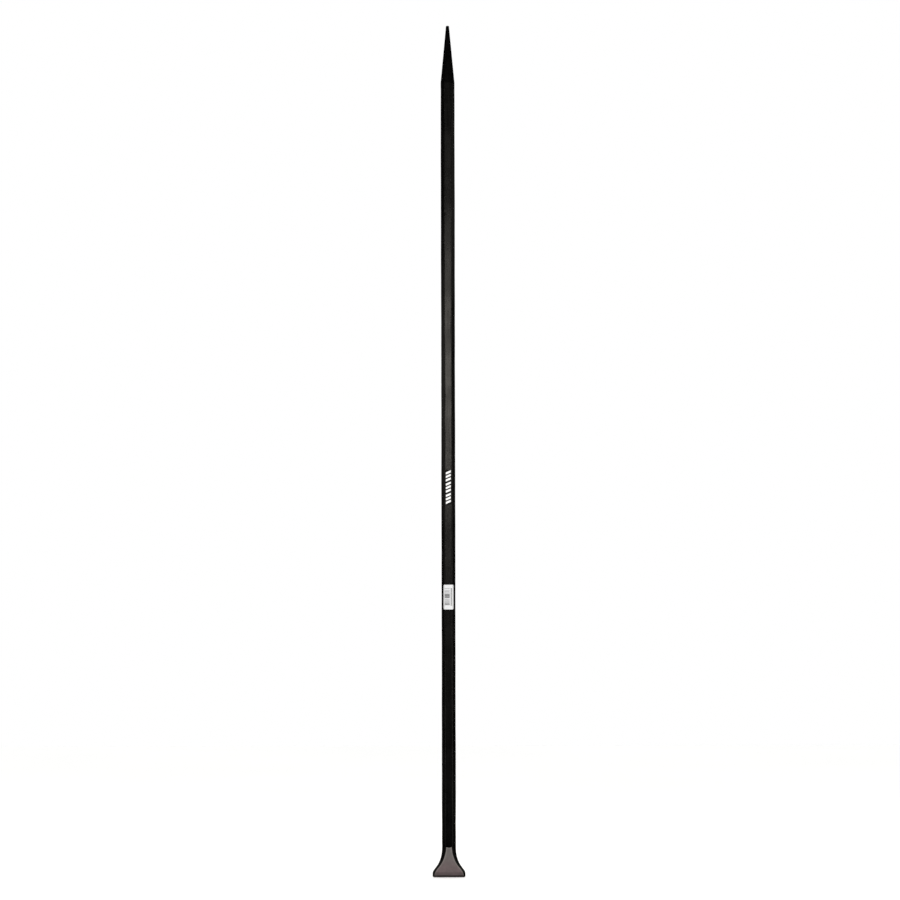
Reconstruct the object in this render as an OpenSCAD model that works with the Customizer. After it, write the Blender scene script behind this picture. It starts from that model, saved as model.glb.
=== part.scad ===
// Digging bar: hexagonal steel bar with a drawn point at the top and a flared chisel blade at the foot.
// Z runs along the bar from the cutting edge to the tip of the point.
// The labelled flat faces -Y and the blade spreads along X.

/* [Bar] */
// Length from the cutting edge to the tip of the point
bar_l = 1752.6; // [1200:0.1:2000]
// Hexagonal bar measured across its flats
flat_w = 25.4; // [22:0.1:30]
// Radius on the six rolled corners of the bar
corner_r = 2.4; // [1:0.1:4]

/* [Point] */
// Length of the drawn point, nose included
point_l = 118; // [60:1:200]
// Diameter of the point where its nose begins
nose_d = 6.6; // [5:0.1:12]
// Radius that blunts the nose
nose_r = 2.3; // [0.5:0.1:2.4]

/* [Blade outline] */
// Height of the blade from the cutting edge to the shaft
blade_h = 63.5; // [50:0.5:110]
// Width across the blade at its widest
blade_w = 67.6; // [50:0.1:110]
// Height of the straight sides at the foot
land_h = 7.5; // [5:0.1:12]
// Share of the flare over which its side leaves the shaft
flare_head = 0.72; // [0.5:0.01:0.75]
// Share of the flare over which its side turns upright again
flare_foot = 0.21; // [0.1:0.01:0.25]
// Radius on the two lower corners
foot_r = 3; // [1:0.1:4]

/* [Blade thickness] */
// Thickness at the foot of the two wedge faces
wedge_t = 13; // [11:0.1:18]
// Height at which the wedge faces end
wedge_h = 11; // [8:0.1:20]
// Thickness at the head of the cutting bevels
bevel_t = 9.5; // [5:0.1:10.5]
// Height of the cutting bevels
bevel_h = 5; // [4.2:0.1:7]
// Thickness left along the cutting edge
edge_t = 2.4; // [1:0.1:4]

/* [Films] */
// Thickness of the label and of the strip
film_t = 0.15; // [0.1:0.01:0.3]
// Height of the label
label_h = 50.8; // [30:0.1:80]
// Width of the label laid flat
label_w = 25.4; // [22:0.1:30]
// Radius on the label's corners
label_r = 3; // [1:0.1:5]
// Height of the label's middle above the cutting edge
label_z = 577; // [300:1:650]
// Length of the marked strip
strip_l = 71; // [40:1:100]
// Bare flat left on each side of the strip
strip_margin = 0.1; // [0:0.05:2]
// Height of the strip's middle above the cutting edge
strip_z = 803; // [750:1:900]

/* [Hidden] */
half_t = flat_w / 2;
corner_c = (half_t - corner_r) / cos(30);
flat_half = corner_c / 2;
half_w = corner_c + corner_r;
shaft_top = bar_l - point_l;
taper_top = bar_l - nose_r;
blade_half = blade_w / 2;
flare_l = blade_h - land_h;
arc_n = 4;
flat_n = 4;
taper_n = 8;
nose_n = 6;
foot_n = 6;
ground_n = 4;
flare_n = 30;

// A point on the rounded corner i of the bar, a degrees from the corner's own direction
function corner_point(i, a, grow = 0) =
    corner_c * [cos(60 * i), sin(60 * i)] + (corner_r + grow) * [cos(60 * i + a), sin(60 * i + a)];

function corner_arc(i, grow = 0) = [for (j = [0:arc_n]) corner_point(i, 60 * j / arc_n - 30, grow)];

// The bar's outline, each flat cut into n stretches
function bar_outline(n) = [
    for (i = [0:5])
        each concat(
            corner_arc(i),
            [for (j = [1:1:n - 1]) corner_point(i, 30) * (1 - j / n) + corner_point(i + 1, -30) * (j / n)]
        )
];

function at_height(outline, z) = [for (p = outline) [p.x, p.y, z]];

// Solid through a stack of rings of equal length around the Z axis, lowest ring first
module loft(rings) {
    m = len(rings[0]);
    n = len(rings);
    lower_middle = n * m;
    upper_middle = n * m + 1;
    polyhedron(
        points = concat(
            [for (ring = rings) each ring],
            [[0, 0, rings[0][0].z], [0, 0, rings[n - 1][0].z]]
        ),
        faces = concat(
            [for (i = [0:m - 1]) [lower_middle, i, (i + 1) % m]],
            [for (i = [0:m - 1]) [upper_middle, (n - 1) * m + (i + 1) % m, (n - 1) * m + i]],
            [for (k = [0:n - 2], i = [0:m - 1]) [k * m + i, (k + 1) * m + i, (k + 1) * m + (i + 1) % m]],
            [for (k = [0:n - 2], i = [0:m - 1]) [k * m + i, (k + 1) * m + (i + 1) % m, k * m + (i + 1) % m]]
        )
    );
}

// The bar's outline run out to a circle of radius r: share 0 is the bar, share 1 the circle
function drawn_out(share, r) = [
    for (p = bar_outline(flat_n)) p * (1 - share) + r * share * p / norm(p)
];

// Half width of the blade's side along the flare, u from 0 at the shaft to 1 at the straight foot
function flare_x(u) = half_w + (blade_half - half_w) * u * u * (3 - 2 * u);

// Height of the blade's side along the same flare
function flare_z(u) =
    let (
        head = pow(1 - u, 3) + 3 * pow(1 - u, 2) * u * (1 - flare_head),
        foot = 3 * (1 - u) * pow(u, 2) * flare_foot
    )
    land_h + flare_l * (head + foot);

// Place along the flare at height z, found by halving
function flare_u(z, low = 0, high = 1, steps = 30) =
    let (middle = (low + high) / 2)
    steps == 0 ? middle :
    flare_z(middle) > z ? flare_u(z, middle, high, steps - 1) : flare_u(z, low, middle, steps - 1);

function blade_side(z) =
    z >= blade_h ? half_w :
    z > land_h ? flare_x(flare_u(z)) :
    z >= foot_r ? blade_half :
    blade_half - foot_r + sqrt(pow(foot_r, 2) - pow(foot_r - z, 2));

function blade_depth(z) =
    lookup(z, [[0, edge_t / 2], [bevel_h, bevel_t / 2], [wedge_h, wedge_t / 2], [blade_h, half_t]]);

// The bar's own outline thinned to the blade's thickness and drawn apart to its width.
// The rims keep the slope of the bar's side flats.
function blade_ring(z) =
    let (thin = blade_depth(z) / half_t, apart = blade_side(z) - thin * half_w)
    [for (p = bar_outline(1)) [p.x * thin + sign(p.x) * apart, p.y * thin, z]];

module shaft() {
    color([0.07, 0.07, 0.07])
        translate([0, 0, blade_h])
            linear_extrude(shaft_top - blade_h)
                polygon(bar_outline(1));
}

module point() {
    taper = [
        for (k = [0:taper_n])
            at_height(drawn_out(k / taper_n, nose_d / 2), shaft_top + (taper_top - shaft_top) * k / taper_n)
    ];
    nose = [
        for (k = [1:nose_n])
            at_height(
                drawn_out(1, nose_d / 2 - nose_r * (1 - cos(90 * k / nose_n))),
                taper_top + nose_r * sin(90 * k / nose_n)
            )
    ];
    color([0.05, 0.05, 0.05])
        loft(concat(taper, nose));
}

module chisel_blade() {
    foot = [for (k = [0:foot_n]) foot_r * (1 - cos(90 * k / foot_n))];
    ground = [for (k = [0:ground_n - 1]) bevel_h + (wedge_h - bevel_h) * k / ground_n];
    wedge = [for (k = [0:flare_n]) wedge_h + (blade_h - wedge_h) * k / flare_n];
    color([0.4, 0.38, 0.37])
        loft([for (z = concat(foot, ground, wedge)) blade_ring(z)]);
}

module mark_strip() {
    strip_w = 2 * (flat_half - strip_margin);
    color([0.9, 0.9, 0.9])
        translate([-strip_w / 2, -half_t - film_t, strip_z - strip_l / 2])
            cube([strip_w, film_t, strip_l]);
}

// Film laid over the front flat and folded back along both side flats, seen from above
module folded_film(run) {
    left = [-0.5, sqrt(3) / 2] * run;
    right = [0.5, sqrt(3) / 2] * run;
    under = concat(
        [corner_point(4, -30) + left],
        corner_arc(4),
        corner_arc(5),
        [corner_point(5, 30) + right]
    );
    over = concat(
        [corner_point(4, -30, film_t) + left],
        corner_arc(4, film_t),
        corner_arc(5, film_t),
        [corner_point(5, 30, film_t) + right]
    );
    polygon(concat(under, [for (i = [len(over) - 1:-1:0]) over[i]]));
}

module price_label() {
    run = label_w / 2 - flat_half - corner_r * PI / 3;
    seen_half = corner_point(5, 30, film_t).x + run / 2;
    // On the side flats the label is seen at half of its width, so its round corners are too
    round_x = label_r / 2;
    front = [
        for (q = [0:3], j = [0:arc_n])
            let (a = 90 * (q + j / arc_n), sx = q == 0 || q == 3 ? 1 : -1, sz = q < 2 ? 1 : -1)
            [sx * (seen_half - round_x) + round_x * cos(a), sz * (label_h / 2 - label_r) + label_r * sin(a)]
    ];
    color([0.93, 0.93, 0.91])
        translate([0, 0, label_z])
            intersection() {
                translate([0, 0, -label_h / 2])
                    linear_extrude(label_h)
                        folded_film(run);
                rotate([90, 0, 0])
                    linear_extrude(flat_w)
                        polygon(front);
            }
}

shaft();
point();
chisel_blade();
mark_strip();
price_label();
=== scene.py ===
"""Digging bar: a painted hexagonal bar with a drawn point and a flared chisel blade.

Each piece is a surface worked out with numpy, in metres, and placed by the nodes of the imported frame.
"""

import logging
import math
from dataclasses import dataclass, field, replace
from enum import Enum
from typing import Any

import bpy
import numpy as np
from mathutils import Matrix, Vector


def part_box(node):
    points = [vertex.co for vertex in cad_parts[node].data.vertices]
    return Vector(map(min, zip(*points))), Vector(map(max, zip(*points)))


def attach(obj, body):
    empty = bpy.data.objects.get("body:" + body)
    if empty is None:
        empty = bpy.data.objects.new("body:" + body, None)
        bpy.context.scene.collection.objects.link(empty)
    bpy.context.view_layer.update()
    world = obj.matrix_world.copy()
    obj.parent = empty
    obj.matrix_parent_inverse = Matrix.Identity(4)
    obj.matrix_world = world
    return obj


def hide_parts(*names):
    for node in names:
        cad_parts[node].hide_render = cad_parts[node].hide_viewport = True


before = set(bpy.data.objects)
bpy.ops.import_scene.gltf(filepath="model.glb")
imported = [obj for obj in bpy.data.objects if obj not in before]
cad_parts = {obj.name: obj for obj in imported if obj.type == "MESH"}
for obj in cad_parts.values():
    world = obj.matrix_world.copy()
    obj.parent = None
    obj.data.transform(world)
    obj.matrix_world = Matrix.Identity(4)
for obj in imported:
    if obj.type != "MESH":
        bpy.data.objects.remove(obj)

MM = 0.001
TINY = 1e-6
# Sides of the bar's section, and the degrees from one to the next
SIDES = 6
TURN = 360.0 / SIDES
BODY = "root"
IMAGE_SIDE = 900
LOG = logging.getLogger("digging_bar")
Array = np.ndarray
Span = tuple[float, float]
Colour = tuple[float, float, float, float]
Socket = bpy.types.NodeSocket


class Node(str, Enum):
    """CAD nodes that the dressed pieces stand for."""

    SHAFT = "shaft"
    POINT = "point"
    BLADE = "chisel_blade"
    STRIP = "mark_strip"
    LABEL = "price_label"


class Slot(str, Enum):
    """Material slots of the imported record."""

    PAINT = "black_paint"
    STEEL = "blade_steel"
    FILM = "strip_film"
    PAPER = "label_paper"


def smooth_step(low: float, high: float, value: Array) -> Array:
    """Ease from 0 at low to 1 at high with level ends.

    Args:
        low: Value at which the ease starts.
        high: Value at which the ease ends.
        value: Values to ease.

    Returns:
        The eased values, from 0 to 1.
    """
    share = np.clip((value - low) / (high - low), 0.0, 1.0)
    return share * share * (3.0 - 2.0 * share)


def raised(flat: Array, height: Array) -> Array:
    """Give points of a level plane their heights.

    Args:
        flat: Points as an array of row, place in the row, x and y.
        height: Heights that fit the rows, or the rows and places.

    Returns:
        Points with x, y and z.
    """
    z = np.broadcast_to(height[..., None], flat.shape[:2] + (1,))
    return np.concatenate([flat, z], axis=-1)


def grid_quads(index: Array) -> Array:
    """Join each point of a grid to the next one in its row and to the same two in the next row.

    Args:
        index: Point numbers by row and column.

    Returns:
        Quads, as rows of four point numbers.
    """
    corners = [index[:-1, :-1], index[:-1, 1:], index[1:, 1:], index[1:, :-1]]
    return np.stack(corners, axis=-1).reshape(-1, 4)


@dataclass
class Surface:
    """A mesh in the making: points, polygons and what is stored on them."""

    points: Array
    quads: Array
    triangles: Array = field(default_factory=lambda: np.zeros((0, 3), int))
    values: dict[str, Array] = field(default_factory=dict)
    uv: Array | None = None
    creased: Array | None = None

    @staticmethod
    def tube(rings: Array) -> "Surface":
        """Join a stack of closed rings and close both ends with fans.

        The rings run anticlockwise seen from the last one, so every face points outwards.

        Args:
            rings: Points as an array of ring, place on the ring, coordinate.

        Returns:
            The closed surface, creased around both ends.
        """
        count, around = rings.shape[:2]
        index = np.arange(count * around).reshape(count, around)
        beside = np.roll(index, -1, axis=1)
        quads = grid_quads(np.concatenate([index, index[:, :1]], axis=1))
        first, last = count * around, count * around + 1
        lower = np.stack([np.full(around, first), beside[0], index[0]], axis=-1)
        upper = np.stack([np.full(around, last), index[-1], beside[-1]], axis=-1)
        points = np.concatenate([rings.reshape(-1, 3), rings[[0, -1]].mean(axis=1)])
        creased = np.zeros(len(points), bool)
        creased[index[[0, -1]].ravel()] = True
        return Surface(points, quads, np.concatenate([lower, upper]), creased=creased)

    @staticmethod
    def slab(over: Array, under: Array, uv: Array) -> "Surface":
        """Close two equal grids into a thin slab by joining their borders.

        Args:
            over: Outer face as an array of row, column, coordinate. Seen from outside, rows run up and
                columns to the right.
            under: Inner face on the same grid.
            uv: Pattern coordinates of the grid, as an array of row, column, coordinate.

        Returns:
            The closed surface, creased along its borders.
        """
        rows, columns = over.shape[:2]
        behind = rows * columns
        index = np.arange(behind).reshape(rows, columns)
        face = grid_quads(index)
        border = np.concatenate([index[0, :-1], index[:-1, -1], index[-1, :0:-1], index[:0:-1, 0]])
        after = np.roll(border, -1)
        wall = np.stack([border, border + behind, after + behind, after], axis=-1)
        quads = np.concatenate([face, face[:, ::-1] + behind, wall])
        points = np.concatenate([over.reshape(-1, 3), under.reshape(-1, 3)])
        creased = np.zeros(len(points), bool)
        creased[np.concatenate([border, border + behind])] = True
        return Surface(points, quads, uv=np.concatenate([uv.reshape(-1, 2)] * 2), creased=creased)

    @staticmethod
    def joined(parts: list["Surface"]) -> "Surface":
        """Put several slabs into one mesh, with their pattern coordinates kept.

        Args:
            parts: The slabs.

        Returns:
            The one surface.
        """
        starts = np.cumsum([0] + [len(part.points) for part in parts[:-1]])
        quads = np.concatenate([part.quads + start for part, start in zip(parts, starts)])
        points = np.concatenate([part.points for part in parts])
        creased = np.concatenate([part.creased for part in parts])
        return Surface(points, quads, uv=np.concatenate([part.uv for part in parts]), creased=creased)

    def store(self, key: str, grid: Array) -> None:
        """Store a value by ring and place on the ring. An end's middle takes its ring's first value."""
        self.values[key] = np.concatenate([grid.ravel(), grid[[0, -1], 0]])

    def to_object(self, name: str) -> bpy.types.Object:
        """Make the Blender object, smooth except across edges between two creased points.

        Args:
            name: Name of the piece.

        Returns:
            The linked object, at the origin.
        """
        mesh = bpy.data.meshes.new(name)
        corners = np.concatenate([self.quads.ravel(), self.triangles.ravel()])
        sizes = np.repeat([4, 3], [len(self.quads), len(self.triangles)])
        mesh.vertices.add(len(self.points))
        mesh.vertices.foreach_set("co", self.points.astype(np.float32).ravel())
        mesh.loops.add(len(corners))
        mesh.loops.foreach_set("vertex_index", corners.astype(np.int32))
        mesh.polygons.add(len(sizes))
        mesh.polygons.foreach_set("loop_start", (np.cumsum(sizes) - sizes).astype(np.int32))
        mesh.polygons.foreach_set("use_smooth", np.ones(len(sizes), bool))
        for key, value in self.values.items():
            stored = mesh.attributes.new(key, "FLOAT", "POINT")
            stored.data.foreach_set("value", value.astype(np.float32))
        if self.uv is not None:
            layer = mesh.uv_layers.new(name="UVMap")
            layer.data.foreach_set("uv", self.uv[corners].astype(np.float32).ravel())
        mesh.update(calc_edges=True)
        if self.creased is not None:
            ends = np.zeros(2 * len(mesh.edges), np.int32)
            mesh.edges.foreach_get("vertices", ends)
            mesh.edges.foreach_set("use_edge_sharp", self.creased[ends.reshape(-1, 2)].all(axis=1))
        mesh.validate()
        piece = bpy.data.objects.new(name, mesh)
        bpy.context.scene.collection.objects.link(piece)
        return piece


def place(
    piece: bpy.types.Object, node: Node | None, material: bpy.types.Material
) -> bpy.types.Object:
    """Give a piece its finish and body, hide the CAD node that it stands for, and report it.

    Args:
        piece: The finished piece.
        node: CAD node that it replaces, if any.
        material: Its finish.

    Returns:
        The same piece.
    """
    piece.data.materials.append(material)
    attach(piece, BODY)
    if node is not None:
        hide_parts(node.value)
    LOG.info("%s: %d faces, finish %s", piece.name, len(piece.data.polygons), material.name)
    return piece


class Graph:
    """Short hand for building one shader node tree."""

    # Places of the colour sockets on a Mix node
    MIX_SHARE, MIX_FIRST, MIX_SECOND, MIX_RESULT = 0, 6, 7, 2

    def __init__(self, tree: bpy.types.NodeTree) -> None:
        """Keep the tree that the nodes go into."""
        self.tree = tree

    def feed(self, sockets: Any, values: dict[Any, Any]) -> None:
        """Fill input sockets with fixed values, or link them to other nodes.

        Args:
            sockets: Input sockets, found by name or number.
            values: Fixed values or output sockets, by the input's name or number.
        """
        for key, value in values.items():
            if isinstance(value, Socket):
                self.tree.links.new(value, sockets[key])
            else:
                sockets[key].default_value = value

    def node(self, kind: str, inputs: dict[Any, Any] | None = None, **settings: Any) -> bpy.types.Node:
        """Add a node, set its properties and feed its inputs.

        Args:
            kind: Node type, without its ShaderNode prefix.
            inputs: Fixed values or output sockets, by the input's name or number.
            **settings: Properties of the node.

        Returns:
            The new node.
        """
        made = self.tree.nodes.new(f"ShaderNode{kind}")
        for key, value in settings.items():
            setattr(made, key, value)
        self.feed(made.inputs, inputs or {})
        return made

    def math(self, operation: str, *values: Any, clamp: bool = False) -> Socket:
        """Work out one operation on grey values."""
        return self.node("Math", dict(enumerate(values)), operation=operation, use_clamp=clamp).outputs[0]

    def noise(self, where: Socket, scale: Any, detail: float, rough: float = 0.5) -> Socket:
        """Return the grey value of a noise texture."""
        inputs = {"Vector": where, "Scale": scale, "Detail": detail, "Roughness": rough}
        return self.node("TexNoise", inputs).outputs[0]

    def drawn(self, where: Socket, share: float) -> Socket:
        """Draw a pattern out along the bar by reading only a share of each height."""
        return self.node("VectorMath", {0: where, 1: (1.0, 1.0, share)}, operation="MULTIPLY").outputs[0]

    def spread(self, value: Socket, low: float, high: float, start: float = 0.0, end: float = 1.0) -> Socket:
        """Map low to high of a value to start to end, with level ends."""
        inputs = {"Value": value, "From Min": low, "From Max": high, "To Min": start, "To Max": end}
        return self.node("MapRange", inputs, interpolation_type="SMOOTHSTEP").outputs["Result"]

    def between(self, share: Socket, first: Any, second: Any) -> Socket:
        """Mix two grey values by a share from 0 to 1."""
        return self.math("MULTIPLY_ADD", share, self.math("SUBTRACT", second, first), first)

    def blend(self, share: Socket, first: Any, second: Any) -> Socket:
        """Mix two colours by a share from 0 to 1."""
        inputs = {self.MIX_SHARE: share, self.MIX_FIRST: first, self.MIX_SECOND: second}
        return self.node("Mix", inputs, data_type="RGBA").outputs[self.MIX_RESULT]

    def bump(self, height: Socket, depth: float) -> Socket:
        """Turn a height, of which 1 is as high as depth, into a normal."""
        return self.node("Bump", {"Strength": 1.0, "Distance": depth, "Height": height}).outputs["Normal"]


def new_group(name: str, values: list[str], outputs: list[str]) -> tuple[Graph, Any, Any]:
    """Start a shader node group that reads coordinates and grey values.

    Args:
        name: Name of the group.
        values: Names of its grey inputs.
        outputs: Names of its grey outputs.

    Returns:
        The graph to fill, the sockets that it reads and the sockets that it feeds.
    """
    tree = bpy.data.node_groups.new(name, "ShaderNodeTree")
    tree.interface.new_socket(name="Vector", in_out="INPUT", socket_type="NodeSocketVector")
    for label in values:
        tree.interface.new_socket(name=label, in_out="INPUT", socket_type="NodeSocketFloat")
    for label in outputs:
        tree.interface.new_socket(name=label, in_out="OUTPUT", socket_type="NodeSocketFloat")
    start = tree.nodes.new("NodeGroupInput")
    end = tree.nodes.new("NodeGroupOutput")
    return Graph(tree), start.outputs, end.inputs


@dataclass
class Effects:
    """Effects that the finishes share: the skin of paint over rolled steel, and scale pits."""

    rolled_scale: float = 260.0
    rolled_draw: float = 0.06
    rolled_height: float = 0.5
    rolled_tone: float = 0.35
    pit_least: float = 0.06
    pit_more: float = 0.22
    rim_scale: float = 1400.0
    rim_ragged: float = 0.12
    skin: bpy.types.NodeTree = field(init=False)
    pits: bpy.types.NodeTree = field(init=False)

    def __post_init__(self) -> None:
        """Build each group once."""
        self.skin = self.build_skin()
        self.pits = self.build_pits()

    def build_skin(self) -> bpy.types.NodeTree:
        """Lay fine spray texture over the long waves of rolled steel.

        Height is fine noise plus rolled_height times a noise that is drawn out along the bar. Tone, for
        colour and gloss, is rolled_tone of the drawn noise and the rest of broad noise.

        Returns:
            The node group.
        """
        graph, start, end = new_group("paint_skin", ["Fine", "Broad"], ["Height", "Tone"])
        where = start["Vector"]
        fine = graph.noise(where, start["Fine"], detail=2.0)
        broad = graph.noise(where, start["Broad"], detail=5.0)
        rolled = graph.noise(graph.drawn(where, self.rolled_draw), self.rolled_scale, detail=4.0)
        height = graph.math("MULTIPLY_ADD", rolled, self.rolled_height, fine)
        rest = graph.math("MULTIPLY", broad, 1.0 - self.rolled_tone)
        tone = graph.math("MULTIPLY_ADD", rolled, self.rolled_tone, rest)
        graph.feed(end, {"Height": height, "Tone": tone})
        return graph.tree

    def build_pits(self) -> bpy.types.NodeTree:
        """Scatter the round pits that rolling scale leaves.

        Space is cut into cells, of which a share holds one pit each. A pit has a size of its own and a
        ragged rim, and its depth falls from 1 in its middle to 0.

        Returns:
            The node group.
        """
        graph, start, end = new_group("scale_pits", ["Scale", "Share"], ["Mask"])
        where = start["Vector"]
        cells = graph.node("TexVoronoi", {"Vector": where, "Scale": start["Scale"]}).outputs
        draw = graph.node("SeparateXYZ", {0: cells["Color"]}).outputs
        holds = graph.math("LESS_THAN", draw["X"], start["Share"])
        size = graph.math("MULTIPLY_ADD", draw["Y"], self.pit_more, self.pit_least)
        away = graph.math("SUBTRACT", cells["Distance"], self.rim_ragged / 2)
        rim = graph.noise(where, self.rim_scale, detail=2.0)
        reach = graph.math("MULTIPLY_ADD", rim, self.rim_ragged, away)
        depth = graph.math("SUBTRACT", 1.0, graph.math("DIVIDE", reach, size), clamp=True)
        graph.feed(end, {"Mask": graph.math("MULTIPLY", depth, holds)})
        return graph.tree


class FinishGraph(Graph):
    """The node tree of one finish: a Principled shader that reads Object coordinates."""

    def __init__(self, name: str) -> None:
        """Start the material.

        Args:
            name: Name of the finish.
        """
        self.material = bpy.data.materials.new(name)
        self.material.use_nodes = True
        super().__init__(self.material.node_tree)
        self.tree.nodes.clear()
        self.shader = self.node("BsdfPrincipled")
        self.node("OutputMaterial", {"Surface": self.shader.outputs["BSDF"]})
        self.where = self.node("TexCoord").outputs["Object"]

    def effect(self, tree: bpy.types.NodeTree, **values: float) -> Any:
        """Place a shared effect with values of its own and return its outputs."""
        return self.node("Group", {"Vector": self.where, **values}, node_tree=tree).outputs

    def stored(self, key: str) -> Socket:
        """Read a value that is stored on the piece's points."""
        return self.node("Attribute", attribute_name=key).outputs["Fac"]

    def finished(self, inputs: dict[str, Any]) -> bpy.types.Material:
        """Feed the shader's inputs and return the material."""
        self.feed(self.shader.inputs, inputs)
        return self.material


@dataclass(frozen=True)
class Finish:
    """What every finish has: its name, the scales of its skin, and its roughness from gloss to dull."""

    name: str
    fine: float
    broad: float
    gloss: float
    dull: float
    sheen_range: Span = (0.3, 0.7)

    def skin(self, graph: FinishGraph, effects: Effects) -> Any:
        """Place the shared skin at this finish's scales and return its outputs."""
        return graph.effect(effects.skin, Fine=self.fine, Broad=self.broad)

    def sheen(self, graph: FinishGraph, tone: Socket) -> Socket:
        """Turn a grey value into a roughness from gloss to dull."""
        return graph.spread(tone, *self.sheen_range, self.gloss, self.dull)


@dataclass(frozen=True)
class SheetFinish(Finish):
    """A finish of a thin sheet, whose sheen and relief follow its skin alone."""

    relief: float = 0.006 * MM

    def coat(self, graph: FinishGraph, skin: Any, colour: Socket) -> bpy.types.Material:
        """Give a colour the skin's sheen and relief.

        Args:
            graph: The finish's node tree.
            skin: Outputs of the shared skin.
            colour: The colour.

        Returns:
            The material.
        """
        return graph.finished({
            "Base Color": colour,
            "Roughness": self.sheen(graph, skin["Tone"]),
            "Normal": graph.bump(skin["Height"], self.relief),
        })


@dataclass(frozen=True)
class PaintFinish(Finish):
    """Satin black paint over rolled steel, rubbed thin here and there along its corners."""

    name: str = "satin_black_paint"
    fine: float = 800.0
    broad: float = 24.0
    gloss: float = 0.22
    dull: float = 0.30
    sheen_range: Span = (0.36, 0.64)
    deep: Colour = (0.0006, 0.0005, 0.0005, 1.0)
    worn: Colour = (0.0018, 0.0016, 0.0015, 1.0)
    worn_range: Span = (0.35, 0.65)
    rubbed: Colour = (0.055, 0.052, 0.050, 1.0)
    rub_share: float = 0.6
    patch_scale: float = 14.0
    patch_range: Span = (0.5, 0.72)
    speck_scale: float = 900.0
    speck_draw: float = 0.3
    speck_range: Span = (0.48, 0.66)
    mark_dull: float = 0.12
    pit_scale: float = 170.0
    pit_share: float = 0.3
    pit_depth: float = 1.6
    relief: float = 0.03 * MM

    def rub(self, graph: FinishGraph) -> Socket:
        """Break the stored edge value up by broad patches and fine specks.

        Args:
            graph: The finish's node tree.

        Returns:
            The mask of the rub.
        """
        broad = graph.noise(graph.where, self.patch_scale, detail=2.0)
        drawn = graph.drawn(graph.where, self.speck_draw)
        fine = graph.noise(drawn, self.speck_scale, detail=4.0, rough=0.65)
        patches = graph.spread(broad, *self.patch_range)
        specks = graph.spread(fine, *self.speck_range)
        edge = graph.math("MULTIPLY", graph.stored("edge"), self.rub_share)
        return graph.math("MULTIPLY", graph.math("MULTIPLY", patches, specks), edge)

    def build(self, effects: Effects) -> bpy.types.Material:
        """Make the material. Pits and rub marks are duller than the paint around them.

        Args:
            effects: Shared node groups.

        Returns:
            The material, which reads the piece's edge value.
        """
        graph = FinishGraph(self.name)
        skin = self.skin(graph, effects)
        pits = graph.effect(effects.pits, Scale=self.pit_scale, Share=self.pit_share)["Mask"]
        rub = self.rub(graph)
        paint = graph.blend(graph.spread(skin["Tone"], *self.worn_range), self.deep, self.worn)
        marks = graph.math("ADD", pits, rub)
        height = graph.math("MULTIPLY_ADD", pits, -self.pit_depth, skin["Height"])
        return graph.finished({
            "Base Color": graph.blend(rub, paint, self.rubbed),
            "Roughness": graph.math("MULTIPLY_ADD", marks, self.mark_dull, self.sheen(graph, skin["Tone"])),
            "Normal": graph.bump(height, self.relief),
        })


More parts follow.
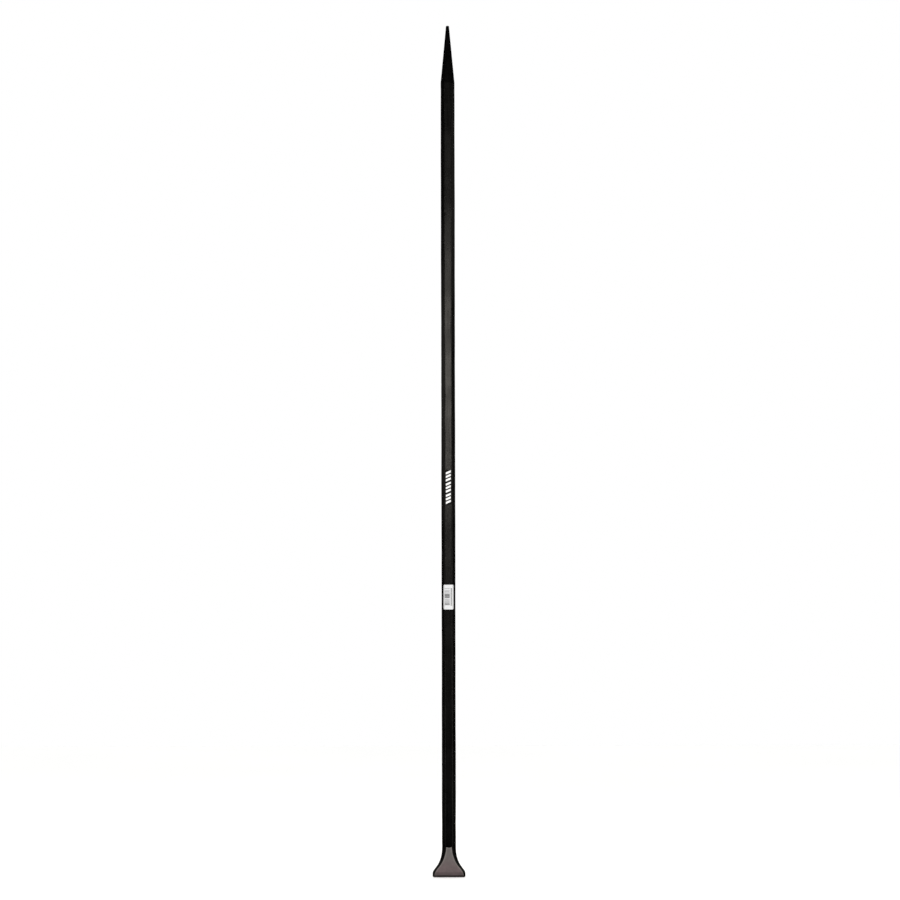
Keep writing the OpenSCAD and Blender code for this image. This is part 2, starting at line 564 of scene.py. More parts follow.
@dataclass(frozen=True)
class BladeFinish(Finish):
    """Dull forged steel faces between rims that keep the black paint."""

    name: str = "forged_blade"
    fine: float = 900.0
    broad: float = 60.0
    gloss: float = 0.44
    dull: float = 0.58
    paint: PaintFinish = PaintFinish()
    upper: Colour = (0.164, 0.153, 0.145, 1.0)
    lower: Colour = (0.193, 0.133, 0.139, 1.0)
    scale: Colour = (0.122, 0.104, 0.100, 1.0)
    # Painted highlight inside the rims
    painted_rim_highlight: Colour = (0.232, 0.212, 0.199, 1.0)
    # Dark of the scale pits, and of the painted shade on the bevels and low corners
    dark_and_shade: Colour = (0.036, 0.029, 0.028, 1.0)
    red_range: Span = (8 * MM, 56 * MM)
    mottle_scale: float = 90.0
    mottle_range: Span = (0.35, 0.65)
    mottle_share: float = 0.5
    line_scale: float = 1700.0
    line_draw: float = 0.04
    line_range: Span = (0.42, 0.75)
    line_share: float = 0.55
    crest_range: Span = (0.3, 0.7)
    crest_least: float = 0.55
    pit_scale: float = 260.0
    pit_share: float = 0.4
    pit_depth: float = 0.8
    pit_dark: float = 0.7
    # Weight of the painted shade on the bevels and low corners
    bevel_shade: float = 0.9
    ragged_scale: float = 700.0
    ragged: float = 0.5
    bare_range: Span = (-0.1, 0.25)
    metal: float = 0.2
    paint_level: float = 1.6
    paint_share: float = 0.4
    relief: float = 0.04 * MM

    def steel(self, graph: FinishGraph, lines: Socket, pits: Socket) -> Socket:
        """Colour the bare faces.

        They are redder towards the foot, mottled and lined by scale, and pitted. A painted highlight
        lightens them inside the rims, and painted shade darkens the bevels, the wedges' foot and the low
        corners.

        Args:
            graph: The finish's node tree.
            lines: Grey value of the grinding lines.
            pits: Mask of the scale pits.

        Returns:
            The colour.
        """
        rise = graph.node("SeparateXYZ", {0: graph.where}).outputs["Z"]
        mottle = graph.noise(graph.where, self.mottle_scale, detail=5.0, rough=0.6)
        crest = graph.spread(lines, *self.crest_range, self.crest_least, 1.0)
        layers = (
            (graph.spread(mottle, *self.mottle_range, self.mottle_share, 0.0), self.scale),
            (graph.spread(lines, *self.line_range, 0.0, self.line_share), self.scale),
            (graph.math("MULTIPLY", pits, self.pit_dark), self.dark_and_shade),
            # Painted highlight inside the rims
            (graph.math("MULTIPLY", graph.stored("edge"), crest), self.painted_rim_highlight),
            # Painted shade on the bevels, the wedges' foot and the low corners
            (graph.math("MULTIPLY", graph.stored("bevel"), self.bevel_shade), self.dark_and_shade),
        )
        steel = graph.blend(graph.spread(rise, *self.red_range), self.lower, self.upper)
        for share, colour in layers:
            steel = graph.blend(share, steel, colour)
        return steel

    def build(self, effects: Effects) -> bpy.types.Material:
        """Make the material, in which paint lies higher than the bare steel and ends in a ragged line.

        Args:
            effects: Shared node groups.

        Returns:
            The material, which reads how far inside the bare face a point lies, in millimetres.
        """
        graph = FinishGraph(self.name)
        skin = self.skin(graph, effects)
        pits = graph.effect(effects.pits, Scale=self.pit_scale, Share=self.pit_share)["Mask"]
        drawn = graph.drawn(graph.where, self.line_draw)
        lines = graph.noise(drawn, self.line_scale, detail=5.0, rough=0.65)
        rim = graph.noise(graph.where, self.ragged_scale, detail=3.0)
        ragged = graph.math("MULTIPLY_ADD", rim, self.ragged, -self.ragged / 2)
        bare = graph.spread(graph.math("ADD", graph.stored("inside"), ragged), *self.bare_range)
        paint = graph.blend(skin["Tone"], self.paint.deep, self.paint.worn)
        worked = graph.math("MULTIPLY_ADD", pits, -self.pit_depth, lines)
        coated = graph.math("MULTIPLY_ADD", skin["Height"], self.paint_share, self.paint_level)
        return graph.finished({
            "Base Color": graph.blend(bare, paint, self.steel(graph, lines, pits)),
            "Roughness": graph.between(bare, self.paint.dull, self.sheen(graph, lines)),
            "Metallic": graph.math("MULTIPLY", bare, self.metal),
            "Normal": graph.bump(graph.between(bare, coated, worked), self.relief),
        })


@dataclass(frozen=True)
class FilmFinish(SheetFinish):
    """Black film of the marked strip."""

    name: str = "black_film"
    fine: float = 1600.0
    broad: float = 70.0
    gloss: float = 0.52
    dull: float = 0.60
    clear: Colour = (0.0008, 0.0008, 0.0008, 1.0)
    hazed: Colour = (0.002, 0.002, 0.002, 1.0)

    def build(self, effects: Effects) -> bpy.types.Material:
        """Make the material from the paint's skin at a finer scale.

        Args:
            effects: Shared node groups.

        Returns:
            The material.
        """
        graph = FinishGraph(self.name)
        skin = self.skin(graph, effects)
        return self.coat(graph, skin, graph.blend(skin["Tone"], self.clear, self.hazed))


@dataclass(frozen=True)
class InkFinish(SheetFinish):
    """White screen ink of the plain blocks on the strip."""

    name: str = "white_ink"
    fine: float = 1500.0
    broad: float = 260.0
    gloss: float = 0.45
    dull: float = 0.60
    bright: Colour = (0.90, 0.90, 0.89, 1.0)
    thin: Colour = (0.80, 0.80, 0.80, 1.0)
    thin_range: Span = (0.4, 0.9)

    def build(self, effects: Effects) -> bpy.types.Material:
        """Make the material, whose ink thins out in specks.

        Args:
            effects: Shared node groups.

        Returns:
            The material.
        """
        graph = FinishGraph(self.name)
        skin = self.skin(graph, effects)
        ink = graph.blend(graph.spread(skin["Height"], *self.thin_range), self.thin, self.bright)
        return self.coat(graph, skin, ink)


@dataclass(frozen=True)
class PaperFinish(SheetFinish):
    """White coated paper with plain printed bars, read from the label's own UV map."""

    name: str = "label_paper_print"
    fine: float = 2600.0
    broad: float = 120.0
    gloss: float = 0.50
    dull: float = 0.62
    relief: float = 0.005 * MM
    paper: Colour = (0.765, 0.772, 0.785, 1.0)
    shade: Colour = (0.695, 0.702, 0.715, 1.0)
    # Painted shade of the label's folds round the side flats
    fold_shade: Colour = (0.45, 0.45, 0.45, 1.0)
    fold_shade_range: Span = (0.30, 0.46)
    speck_range: Span = (0.2, 0.8)
    ink: Colour = (0.03, 0.03, 0.032, 1.0)
    ink_cover: float = 0.97
    modules: float = 150.0
    modules_bare: float = 0.44
    print_range: Span = (0.14, 0.86)
    bars_range: Span = (0.18, 0.60)
    dashes_range: Span = (0.67, 0.79)
    dash_modules: float = 6.0
    dash_share: float = 0.55

    def window(self, graph: FinishGraph, value: Socket, low: float, high: float) -> Socket:
        """Return 1 where a value lies between low and high, and 0 elsewhere."""
        above = graph.math("GREATER_THAN", value, low)
        return graph.math("MULTIPLY", above, graph.math("LESS_THAN", value, high))

    def printed(self, graph: FinishGraph, across: Socket, along: Socket) -> Socket:
        """Print bars of uneven width with a row of short dashes beside them.

        The label's length is cut into narrow modules, and each is inked or not by a fixed random draw.

        Args:
            graph: The finish's node tree.
            across: Place across the label, from 0 to 1.
            along: Place along the label, from 0 to 1.

        Returns:
            The mask of the ink.
        """
        module = graph.math("FLOOR", graph.math("MULTIPLY", along, self.modules))
        draw = graph.node("TexWhiteNoise", {"W": module}, noise_dimensions="1D").outputs["Value"]
        beat = graph.math("FRACT", graph.math("MULTIPLY", along, self.modules / self.dash_modules))
        inked = graph.math("GREATER_THAN", draw, self.modules_bare)
        dashed = graph.math("LESS_THAN", beat, self.dash_share)
        bars = graph.math("MULTIPLY", inked, self.window(graph, across, *self.bars_range))
        dashes = graph.math("MULTIPLY", dashed, self.window(graph, across, *self.dashes_range))
        length = self.window(graph, along, *self.print_range)
        marks = graph.math("MAXIMUM", bars, dashes)
        return graph.math("MULTIPLY", marks, graph.math("MULTIPLY", length, self.ink_cover))

    def build(self, effects: Effects) -> bpy.types.Material:
        """Make the material, with painted shade along its long edges, where the label folds round the side
        flats.

        Args:
            effects: Shared node groups.

        Returns:
            The material.
        """
        graph = FinishGraph(self.name)
        skin = self.skin(graph, effects)
        spot = graph.node("SeparateXYZ", {0: graph.node("UVMap", uv_map="UVMap").outputs["UV"]}).outputs
        aside = graph.math("ABSOLUTE", graph.math("SUBTRACT", spot["X"], 0.5))
        specks = graph.spread(skin["Height"], *self.speck_range)
        # Painted shade towards the long edges, broken up by specks
        shaded_folds = graph.math("MULTIPLY", graph.spread(aside, *self.fold_shade_range), specks)
        paper = graph.blend(shaded_folds, graph.blend(skin["Tone"], self.shade, self.paper), self.fold_shade)
        printed = self.printed(graph, spot["X"], spot["Y"])
        return self.coat(graph, skin, graph.blend(printed, paper, self.ink))


@dataclass(frozen=True)
class FloorFinish(Finish):
    """Plain pale floor, lifted a little to the white of the room."""

    name: str = "pale_floor"
    fine: float = 400.0
    broad: float = 1.5
    gloss: float = 0.85
    dull: float = 0.95
    light: Colour = (0.93, 0.93, 0.92, 1.0)
    shade: Colour = (0.91, 0.91, 0.90, 1.0)
    glow: Colour = (1.0, 1.0, 1.0, 1.0)
    lift: float = 0.15

    def build(self, effects: Effects) -> bpy.types.Material:
        """Make the material, with a faint broad unevenness.

        Args:
            effects: Shared node groups.

        Returns:
            The material.
        """
        graph = FinishGraph(self.name)
        tone = self.skin(graph, effects)["Tone"]
        return graph.finished({
            "Base Color": graph.blend(tone, self.shade, self.light),
            "Roughness": self.sheen(graph, tone),
            "Emission Color": self.glow,
            "Emission Strength": self.lift,
        })


@dataclass
class HexBar:
    """The rolled hexagonal section: its half sizes and rounded corners."""

    half_w: float
    half_t: float

    @classmethod
    def from_frame(cls) -> "HexBar":
        """Read the section from the CAD shaft's box."""
        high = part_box(Node.SHAFT.value)[1]
        return cls(half_w=high.x, half_t=high.y)

    @property
    def corner_r(self) -> float:
        """Corner radius: a sharp corner lies at half_t / cos 30, and rounding brings it in to half_w."""
        sharp = 1.0 / math.cos(math.pi / SIDES)
        return (self.half_t * sharp - self.half_w) / (sharp - 1.0)

    @property
    def corner_c(self) -> float:
        """Distance of each corner's centre from the axis."""
        return (self.half_t - self.corner_r) / math.cos(math.pi / SIDES)

    @property
    def flat_half(self) -> float:
        """Half the width of a flat between its two corners."""
        return self.corner_c / 2

    def outline(self, arc_steps: int, flat_steps: int) -> tuple[Array, Array, Array]:
        """Walk once round the section, anticlockwise from the corner at +X.

        Each corner is an arc of 60 degrees about its centre, and each flat is the straight line to the next
        arc.

        Args:
            arc_steps: Steps on each corner.
            flat_steps: Steps on each flat.

        Returns:
            Points, outward normals, and an edge value that is 1 at a corner's middle and 0 on the flats.
        """
        corners = np.radians(TURN * np.arange(SIDES))[:, None]
        swing = np.radians(np.linspace(-TURN / 2, TURN / 2, arc_steps + 1))[None, :]
        turn = corners + swing
        normal = np.stack([np.cos(turn), np.sin(turn)], axis=-1)
        centre = self.corner_c * np.stack([np.cos(corners), np.sin(corners)], axis=-1)
        arcs = centre + self.corner_r * normal
        share = (np.arange(1, flat_steps) / flat_steps)[None, :, None]
        following = np.roll(arcs[:, :1], -1, axis=0)
        flats = arcs[:, -1:] * (1.0 - share) + following * share
        flat_normal = np.repeat(normal[:, -1:], flat_steps - 1, axis=1)
        edge = np.repeat(np.cos(swing * (SIDES / 2)), SIDES, axis=0)
        flat_edge = np.zeros((SIDES, flat_steps - 1))
        points = np.concatenate([arcs, flats], axis=1).reshape(-1, 2)
        normals = np.concatenate([normal, flat_normal], axis=1).reshape(-1, 2)
        return points, normals, np.concatenate([edge, flat_edge], axis=1).ravel()

    def folded(self, along: Array, lift: float | Array) -> Array:
        """Lay points over the front flat and fold them back along both side flats.

        From the middle of the front flat a point runs straight to the flat's end, then round the corner's
        arc, then straight along the side flat, always lift above the steel.

        Args:
            along: Distance from the middle of the front flat, positive towards +X.
            lift: Height above the steel.

        Returns:
            Points in the section's plane.
        """
        slope = math.radians(TURN)
        run = np.abs(along)
        turn = np.clip((run - self.flat_half) / self.corner_r, 0.0, slope)
        past = np.maximum(run - self.flat_half - self.corner_r * slope, 0.0)
        reach = self.corner_r + lift
        x = np.minimum(run, self.flat_half) + reach * np.sin(turn) + past * math.cos(slope)
        y = self.corner_r - self.half_t - reach * np.cos(turn) + past * math.sin(slope)
        return np.stack([np.sign(along) * x, y], axis=-1)


@dataclass
class Shaft:
    """The painted hexagonal shaft."""

    bar: HexBar
    low: float
    high: float
    rings: int = 900
    arc_steps: int = 8
    flat_steps: int = 6
    end_fade: float = 20 * MM
    wave_lengths: tuple[float, ...] = (0.61, 0.23, 0.094)
    wave_depths: tuple[float, ...] = (0.10 * MM, 0.07 * MM, 0.05 * MM)
    wave_shift: float = 1.7
    dents: int = 46
    dent_depth: float = 0.18 * MM
    depth_shares: Span = (0.2, 1.0)
    dent_size: float = 2.6 * MM
    size_shares: Span = (0.5, 1.3)
    dent_across: float = 0.7
    seed: int = 7

    def build(self) -> bpy.types.Object:
        """Carry the section along the bar, with rolling waves and small dents on its corners.

        A point is the section's point plus its normal times the waves less the dents. Both fade out towards
        the shaft's ends.

        Returns:
            The piece.
        """
        points, normals, edge = self.bar.outline(self.arc_steps, self.flat_steps)
        height = np.linspace(self.low, self.high, self.rings)[:, None]
        fade = smooth_step(0.0, self.end_fade, np.minimum(height - self.low, self.high - height))
        offset = fade * (self.waves(normals, height) - self.dent_field(points, height))
        surface = Surface.tube(raised(points[None] + offset[..., None] * normals[None], height))
        surface.store("edge", np.tile(edge, (self.rings, 1)))
        return surface.to_object("bar_shaft")

    def waves(self, normals: Array, height: Array) -> Array:
        """Shallow waves that rolling leaves: sines along the bar whose phases differ from flat to flat.

        Args:
            normals: Outward normals of the section.
            height: Ring heights, as a column.

        Returns:
            Offsets along the normal, by ring and place on the ring.
        """
        facing = np.arctan2(normals[:, 1], normals[:, 0])[None, :, None]
        number = np.arange(len(self.wave_lengths))
        along = 2 * math.pi * height[..., None] / np.array(self.wave_lengths)
        phase = (number + 2) * facing + self.wave_shift * number
        return np.sin(along + phase) @ np.array(self.wave_depths)

    def dent_field(self, points: Array, height: Array) -> Array:
        """Depth of the small dents: each is a Gaussian in height and in distance across the section.

        Args:
            points: Section points.
            height: Ring heights, as a column.

        Returns:
            Depths, by ring and place on the ring.
        """
        draw = np.random.default_rng(self.seed)
        corner = np.radians(TURN * draw.integers(0, SIDES, self.dents))
        centre = self.bar.half_w * np.stack([np.cos(corner), np.sin(corner)], axis=-1)
        middle = draw.uniform(self.low, self.high, self.dents)
        size = self.dent_size * draw.uniform(*self.size_shares, self.dents)
        depth = self.dent_depth * draw.uniform(*self.depth_shares, self.dents)
        across = ((points[:, None] - centre[None]) ** 2).sum(-1) / (self.dent_across * size[None]) ** 2
        along = (height - middle[None]) ** 2 / size[None] ** 2
        return (depth * np.exp(-along)) @ np.exp(-across).T

    def dress(self, paint: bpy.types.Material) -> bpy.types.Object:
        """Build the shaft and give it its paint."""
        return place(self.build(), Node.SHAFT, paint)


@dataclass
class Point:
    """The drawn point: the hexagon run out to a blunt round nose."""

    bar: HexBar
    low: float
    high: float
    nose_d: float = 6.6 * MM
    nose_r: float = 2.3 * MM
    rings: int = 150
    nose_rings: int = 14
    arc_steps: int = 8
    flat_steps: int = 8
    hammer: float = 0.07 * MM
    hammer_waves: tuple[tuple[float, float], ...] = ((23.0, 3.0), (61.0, -2.0))
    foot_fade: float = 0.12
    nose_fade: float = 0.10

    def build(self) -> bpy.types.Object:
        """Blend the hexagon into a circle along straight lines, then round the nose.

        On the taper a point is (1 - share) times the hexagon's point plus share times the nose's circle in
        the same direction, less the hammer's flats. On the nose the circle shrinks along a quarter round.

        Returns:
            The piece.
        """
        points, _, edge = self.bar.outline(self.arc_steps, self.flat_steps)
        direction = points / np.linalg.norm(points, axis=1, keepdims=True)
        taper_top = self.high - self.nose_r
        share = np.linspace(0.0, 1.0, self.rings)[:, None]
        circle = share * self.nose_d / 2 - self.hammered(points, share)
        taper = (1.0 - share)[..., None] * points + circle[..., None] * direction
        taper_z = self.low + (taper_top - self.low) * share
        quarter = np.linspace(0.0, math.pi / 2, self.nose_rings + 1)[1:, None]
        radius = self.nose_d / 2 - self.nose_r * (1.0 - np.cos(quarter))
        flat = np.concatenate([taper, radius[..., None] * direction])
        height = np.concatenate([taper_z, taper_top + self.nose_r * np.sin(quarter)])
        surface = Surface.tube(raised(flat, height))
        surface.store("edge", np.concatenate([1.0 - share, np.zeros_like(quarter)]) * edge)
        return surface.to_object("bar_point")

    def hammered(self, points: Array, share: Array) -> Array:
        """Depth of the hammer's flats: crossed sines in height and direction that fade out at both ends.

        Args:
            points: Section points.
            share: Share of the taper at each ring, as a column.

        Returns:
            Depths, by ring and place on the ring.
        """
        facing = np.arctan2(points[:, 1], points[:, 0])[None, :]
        fade = smooth_step(0.0, self.foot_fade, share) * smooth_step(0.0, self.nose_fade, 1.0 - share)
        sines = [np.sin(along * share + around * facing) for along, around in self.hammer_waves]
        return self.hammer * fade * np.abs(np.prod(sines, axis=0))

    def dress(self, paint: bpy.types.Material) -> bpy.types.Object:
        """Build the point and give it its paint."""
        return place(self.build(), Node.POINT, paint)


@dataclass
class ChiselBlade:
    """The flared chisel blade: ogee sides, wedge faces, sloping rims and a ground edge.

    The crest is the bright line inside the rims, a painted highlight. Its place and reach are in
    millimetres, as the stored values are. Each shade value says how much painted shade a place gets, on the
    bevels and the foot of the wedge faces, which face down, and in the low corners; the ends and sides say
    where that fades, in shares of the bevels' or wedges' height or of the half width.
    """

    bar: HexBar
    half_width: float
    height: float
    land_h: float = 7.5 * MM
    flare_head: float = 0.72
    flare_foot: float = 0.21
    foot_r: float = 3.0 * MM
    wedge_t: float = 13.0 * MM
    wedge_h: float = 11.0 * MM
    bevel_t: float = 9.5 * MM
    bevel_h: float = 5.0 * MM
    edge_t: float = 2.4 * MM
    ease: float = 0.45 * MM
    crown: float = 0.22 * MM
    crown_rise: float = 6.0 * MM
    crown_power: float = 1.6
    paint_lap: float = 0.45 * MM
    # Place and reach of the painted highlight inside the rims
    crest_place: float = 0.8
    crest_reach: float = 1.6
    # Weights and fades of the painted shade on the bevels, the wedges' foot and the low corners
    bevel_shade: float = 0.7
    bevel_ends: Span = (0.75, 1.1)
    wedge_shade: float = 0.3
    wedge_ends: Span = (0.8, 1.15)
    corner_shade: float = 0.2
    corner_ends: Span = (0.8, 1.7)
    corner_sides: Span = (0.35, 0.8)
    crease_band: float = 2.0 * MM
    head_band: float = 5.0 * MM
    foot_rings: int = 14
    bevel_rings: int = 34
    wedge_rings: int = 90
    head_rings: int = 26
    curve_steps: int = 2000
    ease_steps: int = 8
    arc_steps: int = 8
    flat_steps: int = 28

    def side(self, z: Array) -> Array:
        """Half width at each height.

        Down to the straight foot the side is a cubic curve: its width eases as u squared times (3 - 2u) and
        its height is a Bezier whose handles are flare_head and flare_foot. Below, the side is upright and
        ends in a round corner.

        Args:
            z: Heights above the cutting edge.

        Returns:
            Half widths.
        """
        u = np.linspace(0.0, 1.0, self.curve_steps + 1)
        head = (1 - u) ** 3 + 3 * (1 - u) ** 2 * u * (1 - self.flare_head)
        foot = 3 * (1 - u) * u**2 * self.flare_foot
        curve_z = self.land_h + (self.height - self.land_h) * (head + foot)
        curve_x = self.bar.half_w + (self.half_width - self.bar.half_w) * u * u * (3 - 2 * u)
        wide = np.interp(z, curve_z[::-1], curve_x[::-1])
        inset = np.clip(self.foot_r - z, 0.0, self.foot_r)
        return wide - self.foot_r + np.sqrt(self.foot_r**2 - inset**2)

    def depth(self, z: Array) -> Array:
        """Half thickness at each height: straight stretches, with creases eased by averaging nearby heights.

        Args:
            z: Heights above the cutting edge, as a column.

        Returns:
            Half thicknesses, as a column.
        """
        knots = [-self.bevel_h, 0.0, self.bevel_h, self.wedge_h, self.height, self.height + self.wedge_h]
        slope = (self.bevel_t - self.edge_t) / 2
        halves = [self.edge_t / 2 - slope, self.edge_t / 2, self.bevel_t / 2, self.wedge_t / 2]
        halves += [self.bar.half_t, self.bar.half_t]
        shifts = np.linspace(-1.0, 1.0, self.ease_steps + 1)
        weights = np.exp(-2.0 * shifts**2)
        near = np.interp(z + self.ease * shifts, knots, halves)
        return near @ (weights / weights.sum())[:, None]

    def heights(self) -> Array:
        """Ring heights, close together at the round corners, the creases and the head.

        Returns:
            Heights above the cutting edge, as a column.
        """
        low = self.wedge_h + self.crease_band
        high = self.height - self.head_band
        foot = self.foot_r * (1.0 - np.cos(np.linspace(0.0, math.pi / 2, self.foot_rings)))
        bevel = np.linspace(self.foot_r, low, self.bevel_rings)[1:]
        wedge = np.linspace(low, high, self.wedge_rings)[1:]
        head = np.linspace(high, self.height, self.head_rings)[1:]
        return np.concatenate([foot, bevel, wedge, head])[:, None]

    def build(self) -> bpy.types.Object:
        """Thin the bar's section to the blade's thickness and draw it apart to its width.

        With thin the share of the bar's thickness and apart the extra half width, a point's x is x times
        thin plus apart times its pull, which runs from -1 to 1 across the faces and is -1 or 1 on the rims.
        Its y is y times thin, and the faces get a low crown that never passes the bar's own flats.

        Returns:
            The piece, which stores how far inside the bare face each point lies, in millimetres.
        """
        points = self.bar.outline(self.arc_steps, self.flat_steps)[0]
        x, y = points[:, 0][None], points[:, 1][None]
        z = self.heights()
        thin = self.depth(z) / self.bar.half_t
        apart = self.side(z) - thin * self.bar.half_w
        pull = np.clip(x / self.bar.flat_half, -1.0, 1.0)
        on_face = np.abs(x) < self.bar.flat_half + TINY
        rise = smooth_step(self.bevel_h, self.wedge_h + self.crown_rise, z)
        swell = np.where(on_face, self.crown * rise * (1.0 - np.abs(pull) ** self.crown_power), 0.0)
        level = np.abs(y) * thin + swell
        wide = x * thin + apart * pull
        flat = np.stack([wide, np.sign(y) * np.minimum(level, self.bar.half_t)], axis=-1)
        face_end = self.bar.flat_half * thin + apart - self.paint_lap
        below_head = np.where(on_face, (self.bar.half_t - level) / self.tilt(), 1.0)
        inside = np.minimum(face_end - np.abs(wide), below_head) / MM
        surface = Surface.tube(raised(flat, z))
        surface.store("inside", inside)
        # The stored edge value on the blade is the painted highlight inside the rims
        surface.store("edge", np.exp(-(((inside - self.crest_place) / self.crest_reach) ** 2)))
        # The stored bevel value is painted shade on the bevels, the wedges' foot and the low corners
        surface.store("bevel", self.dark_and_shade(wide, z))
        return surface.to_object("bar_blade")

    def dark_and_shade(self, wide: Array, z: Array) -> Array:
        """Share of painted shade: most on the downward bevels, less up to the wedge faces, least in the low
        corners.

        Args:
            wide: Places across the blade, by ring and place on the ring.
            z: Ring heights, as a column.

        Returns:
            Shares from 0 to 1.
        """
        bevels = 1.0 - smooth_step(*self.bevel_ends, z / self.bevel_h)
        wedges = 1.0 - smooth_step(*self.wedge_ends, z / self.wedge_h)
        low = 1.0 - smooth_step(*self.corner_ends, z / self.wedge_h)
        corners = low * smooth_step(*self.corner_sides, np.abs(wide) / self.half_width)
        shade_share = self.bevel_shade * bevels + self.wedge_shade * wedges + self.corner_shade * corners
        return np.minimum(shade_share, 1.0)

    def tilt(self) -> float:
        """Slope of a wedge face away from the bar's flat."""
        return (self.bar.half_t - self.wedge_t / 2) / (self.height - self.wedge_h)

    def dress(self, finish: bpy.types.Material) -> bpy.types.Object:
        """Build the blade and give it its finish."""
        return place(self.build(), Node.BLADE, finish)


@dataclass
class Film:
    """A thin film with round corners, laid on the bar's front flat between two heights."""

    bar: HexBar
    low: float
    high: float
    width: float
    film_t: float = 0.15 * MM
    corner_r: float = 1.0 * MM
    corner_rows: int = 8
    middle_rows: int = 40
    columns: int = 12

    def grid(self) -> tuple[Array, Array]:
        """Cut the film into rows that lie close together along its round corners.

        A row that lies d past the corners' centres is narrower, on each side, by corner_r less the root of
        corner_r squared less d squared.

        Returns:
            Distances from the middle of the front flat by row and column, and row heights as a column.
        """
        straight = (self.high - self.low) / 2 - self.corner_r
        end = straight + self.corner_r * np.cos(np.linspace(0.0, math.pi / 2, self.corner_rows))
        middle = np.linspace(-straight, straight, self.middle_rows)
        rows = np.concatenate([-end[:-1], middle, end[-2::-1]])[:, None]
        past = np.maximum(np.abs(rows) - straight, 0.0)
        inset = self.corner_r - np.sqrt(np.maximum(self.corner_r**2 - past**2, 0.0))
        along = (self.width / 2 - inset) * np.linspace(-1.0, 1.0, self.columns)[None]
        return along, rows + (self.low + self.high) / 2

    def lay(self, along: Array, height: Array, under: float | Array, over: float | Array) -> Surface:
        """Make a closed slab that follows the bar's folded section.

        Args:
            along: Distances from the middle of the front flat, by row and column.
            height: Heights that fit the rows, or the rows and columns.
            under: Height of the inner face above the steel.
            over: Height of the outer face above the steel.

        Returns:
            The slab, whose pattern coordinates run from 0 to 1 over the whole film.
        """
        across, upwards = along / self.width + 0.5, (height - self.low) / (self.high - self.low)
        uv = np.stack(np.broadcast_arrays(across, upwards), axis=-1)
        faces = [raised(self.bar.folded(along, lift), height) for lift in (over, under)]
        return Surface.slab(faces[0], faces[1], uv)


@dataclass
class MarkStrip(Film):
    """Film strip on the front flat, printed with plain slanting blocks."""

    corner_r: float = 0.8 * MM
    groups: int = 3
    blocks: int = 3
    block_share: float = 0.62
    block_rows: int = 4
    block_columns: int = 6
    group_gap: float = 1.5 * MM
    slant: float = 2.2 * MM
    border: float = 0.8 * MM
    ink_t: float = 0.03 * MM

    def film(self) -> bpy.types.Object:
        """Lay the film on the flat."""
        return self.lay(*self.grid(), 0.0, self.film_t).to_object("strip_film")

    def print_blocks(self) -> bpy.types.Object:
        """Print groups of equal slanting blocks.

        A point's height is its place in its block times the block's height, plus slant times its place
        across.

        Returns:
            The piece.
        """
        count = self.groups * self.blocks
        room = (self.high - self.low) - 2 * (self.border + self.slant) - self.group_gap * (self.groups - 1)
        pitch = room / (count - 1 + self.block_share)
        across = np.linspace(-1.0, 1.0, self.block_columns)[None]
        along = np.repeat((self.width / 2 - self.border) * across, self.block_rows, axis=0)
        rise = pitch * self.block_share * np.linspace(0.0, 1.0, self.block_rows)[:, None]
        parts = []
        for number in range(count):
            start = self.low + self.border + self.slant + pitch * number
            start += self.group_gap * (number // self.blocks)
            height = start + rise + self.slant * across
            parts.append(self.lay(along, height, self.film_t, self.film_t + self.ink_t))
        return Surface.joined(parts).to_object("strip_blocks")

    def dress(self, film: bpy.types.Material, ink: bpy.types.Material) -> list[bpy.types.Object]:
        """Build the film and its print and give them their finishes."""
        strip = place(self.film(), Node.STRIP, film)
        return [strip, place(self.print_blocks(), None, ink)]


@dataclass
class PriceLabel(Film):
    """Paper label folded over the front flat and both of its corners."""

    width: float = 25.4 * MM
    corner_r: float = 3.0 * MM
    corner_rows: int = 12
    middle_rows: int = 50
    columns: int = 73
    curl: float = 0.12 * MM
    curl_start: float = 0.72

    def build(self) -> bpy.types.Object:
        """Lay the sheet on the folded section. The last stretch towards each long edge lifts by curl.

        Returns:
            The piece.
        """
        along, height = self.grid()
        lift = self.curl * smooth_step(self.curl_start, 1.0, np.abs(along) / (self.width / 2))
        return self.lay(along, height, lift, self.film_t + lift).to_object("label_sheet")

    def dress(self, paper: bpy.types.Material) -> bpy.types.Object:
        """Build the label and give it its printed paper."""
        return place(self.build(), Node.LABEL, paper)


@dataclass(frozen=True, kw_only=True)
class Softbox:
    """One studio light: its place around the bar, its size and glow, and the share of glow of its twin.

    A light with no lean stands upright and faces the bar. One that leans 90 degrees lies and faces up.
    """

    name: str
    azimuth: float
    away: float
    height: float
    width: float
    tall: float
    glow: float
    twin: float = 0.0
    lean: float = 0.0
    tint: tuple[float, float, float] = (1.0, 0.945, 0.86)

    def build(self) -> bpy.types.Object:
        """Make the area light, whose power is its glow times pi times its area.

        A lying light stands for the floor as the paint mirrors it, so matt surfaces don't see it.

        Returns:
            The light, which the camera doesn't see.
        """
        light = bpy.data.lights.new(self.name, "AREA")
        light.shape = "RECTANGLE"
        light.size = self.width
        light.size_y = self.tall
        light.energy = self.glow * math.pi * self.width * self.tall
        light.color = self.tint
        box = bpy.data.objects.new(self.name, light)
        turn = math.radians(self.azimuth)
        box.location = (self.away * math.sin(turn), -self.away * math.cos(turn), self.height)
        box.rotation_euler = (math.radians(90.0 + self.lean), 0.0, turn)
        box.visible_camera = False
        box.visible_diffuse = self.lean == 0.0
        bpy.context.scene.collection.objects.link(box)
        return box

    def build_twin(self) -> bpy.types.Object:
        """Make the weaker light that stands at the same place on the bar's other side."""
        name = f"{self.name}_twin"
        return replace(self, name=name, azimuth=-self.azimuth, glow=self.glow * self.twin).build()


@dataclass(frozen=True, kw_only=True)
class FloorCard(Softbox):
    """A light that lies on the floor and faces up."""

    height: float = 0.01
    lean: float = 90.0


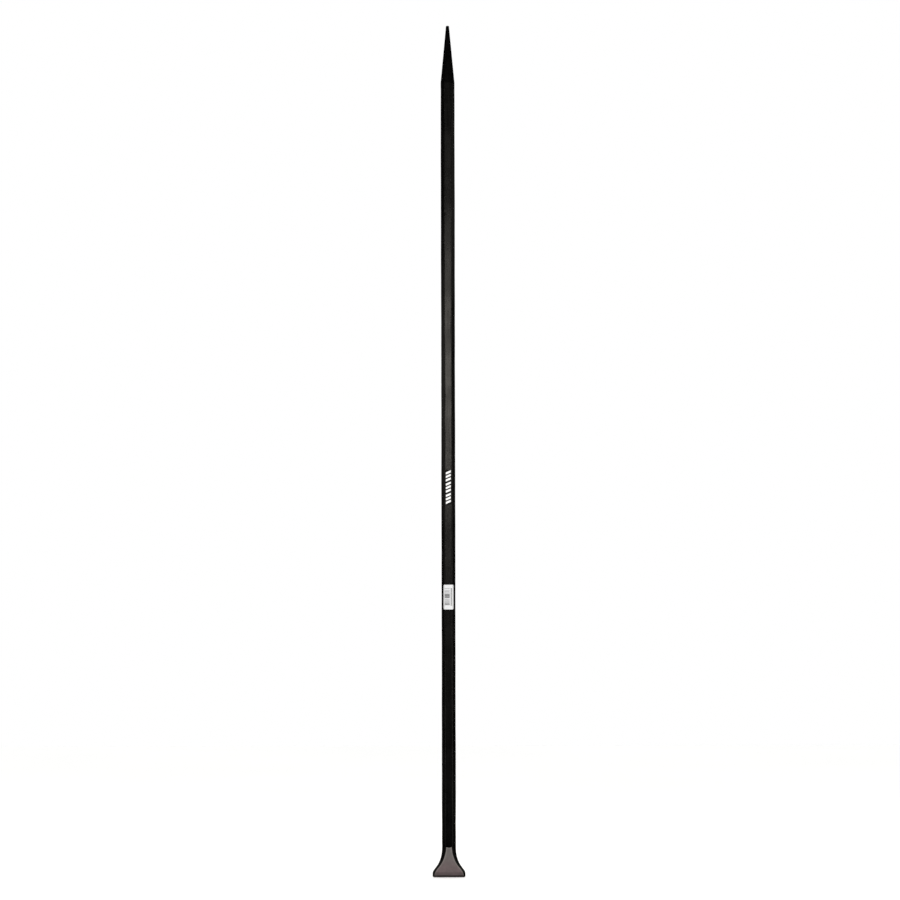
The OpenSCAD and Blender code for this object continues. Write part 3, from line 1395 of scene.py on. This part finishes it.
@dataclass
class Studio:
    """White room, pale floor, soft lights and the camera of the photograph."""

    bar_top: float
    floor_half: float = 4.0
    floor_lines: int = 17
    white: Colour = (1.0, 1.0, 1.0, 1.0)
    camera_away: float = 9.0
    sensor: float = 36.0
    top_row: float = 25.8
    foot_row: float = 877.2
    middle_column: float = 448.24
    roll: float = 0.108
    lights: tuple[Softbox, ...] = (
        Softbox(name="front_glow", azimuth=0.0, away=2.2, height=1.08, width=0.8, tall=0.45, glow=3.6),
        Softbox(name="front_low", azimuth=0.0, away=2.2, height=0.30, width=1.2, tall=0.6, glow=0.053),
        Softbox(name="quarter", azimuth=30.0, away=2.4, height=0.9, width=0.6, tall=1.7, glow=0.3, twin=0.7),
        Softbox(name="front", azimuth=52.0, away=1.6, height=0.8, width=0.7, tall=1.6, glow=0.35, twin=0.8),
        Softbox(name="side", azimuth=86.0, away=1.3, height=0.85, width=0.42, tall=1.3, glow=1.1, twin=0.6),
        Softbox(name="fill_left", azimuth=-119.0, away=2.6, height=1.05, width=0.8, tall=0.5, glow=0.2),
        Softbox(name="fill_right", azimuth=119.0, away=2.6, height=1.6, width=0.8, tall=0.5, glow=0.13),
        Softbox(name="rear", azimuth=150.0, away=1.8, height=0.9, width=0.7, tall=1.7, glow=0.6, twin=0.6),
        Softbox(name="back_glow", azimuth=180.0, away=2.2, height=1.07, width=0.8, tall=0.5, glow=3.6),
        Softbox(name="back_low", azimuth=180.0, away=1.4, height=0.5, width=1.6, tall=1.0, glow=0.6),
        FloorCard(name="floor_front", azimuth=44.0, away=1.5, width=0.5, tall=2.0, glow=0.4, twin=0.7),
        FloorCard(name="floor_side", azimuth=80.0, away=1.1, width=0.4, tall=1.2, glow=0.6, twin=0.6),
        FloorCard(name="floor_edge", azimuth=98.0, away=2.1, width=0.3, tall=2.6, glow=0.35, twin=0.8),
        FloorCard(name="floor_back", azimuth=142.0, away=2.1, width=0.3, tall=2.6, glow=0.4, twin=0.8),
        FloorCard(name="floor_rear", azimuth=158.0, away=1.4, width=0.5, tall=1.8, glow=0.5, twin=0.7),
    )

    def room(self) -> None:
        """Light matt surfaces evenly from a white world that gloss doesn't mirror."""
        scene = bpy.context.scene
        scene.world = bpy.data.worlds.new("white_room")
        scene.world.use_nodes = True
        background = scene.world.node_tree.nodes["Background"]
        background.inputs["Color"].default_value = self.white
        background.inputs["Strength"].default_value = 1.0
        scene.world.cycles_visibility.glossy = False
        scene.view_settings.view_transform = "Standard"

    def floor(self, finish: bpy.types.Material) -> bpy.types.Object:
        """Lay a square floor under the cutting edge, as a flat grid.

        Args:
            finish: Its material.

        Returns:
            The stage object.
        """
        steps = np.linspace(-self.floor_half, self.floor_half, self.floor_lines)
        flat = np.stack(np.meshgrid(steps, steps), axis=-1)
        points = raised(flat, np.zeros(flat.shape[:2])).reshape(-1, 3)
        index = np.arange(len(points)).reshape(flat.shape[:2])
        floor = Surface(points, grid_quads(index)).to_object("floor")
        floor.data.materials.append(finish)
        floor.visible_glossy = False
        return floor

    def camera(self) -> bpy.types.Object:
        """Stand the camera level in front of the bar so that its ends fall on the photograph's rows.

        Returns:
            The camera.
        """
        per_row = self.bar_top / (self.foot_row - self.top_row)
        middle = IMAGE_SIDE / 2
        data = bpy.data.cameras.new("photo_camera")
        data.sensor_width = self.sensor
        data.lens = self.sensor * self.camera_away / (per_row * IMAGE_SIDE)
        camera = bpy.data.objects.new("photo_camera", data)
        aside = (middle - self.middle_column) * per_row
        camera.location = (aside, -self.camera_away, (self.foot_row - middle) * per_row)
        camera.rotation_euler = (math.pi / 2, math.radians(self.roll), 0.0)
        bpy.context.scene.collection.objects.link(camera)
        bpy.context.scene.camera = camera
        return camera

    def build(self, finish: bpy.types.Material) -> None:
        """Set up the room, the floor, the lights and the camera.

        Args:
            finish: The floor's material.
        """
        self.room()
        self.floor(finish)
        for light in self.lights:
            light.build()
            if light.twin > 0.0:
                light.build_twin()
        self.camera()


def main() -> None:
    """Build and dress every piece in order, then set up the studio."""
    logging.basicConfig(level=logging.INFO, format="%(name)s: %(message)s")
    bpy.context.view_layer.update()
    effects = Effects()
    bar = HexBar.from_frame()
    paint = PaintFinish().build(effects)
    shaft_low, shaft_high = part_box(Node.SHAFT.value)
    point_low, point_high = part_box(Node.POINT.value)
    blade_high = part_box(Node.BLADE.value)[1]
    strip_low, strip_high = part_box(Node.STRIP.value)
    label_low, label_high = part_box(Node.LABEL.value)
    Shaft(bar, shaft_low.z, shaft_high.z).dress(paint)
    Point(bar, point_low.z, point_high.z).dress(paint)
    ChiselBlade(bar, blade_high.x, blade_high.z).dress(BladeFinish().build(effects))
    strip = MarkStrip(bar, strip_low.z, strip_high.z, width=2 * strip_high.x)
    strip.dress(FilmFinish().build(effects), InkFinish().build(effects))
    PriceLabel(bar, label_low.z, label_high.z).dress(PaperFinish().build(effects))
    Studio(point_high.z).build(FloorFinish().build(effects))


if __name__ == "__main__":
    main()
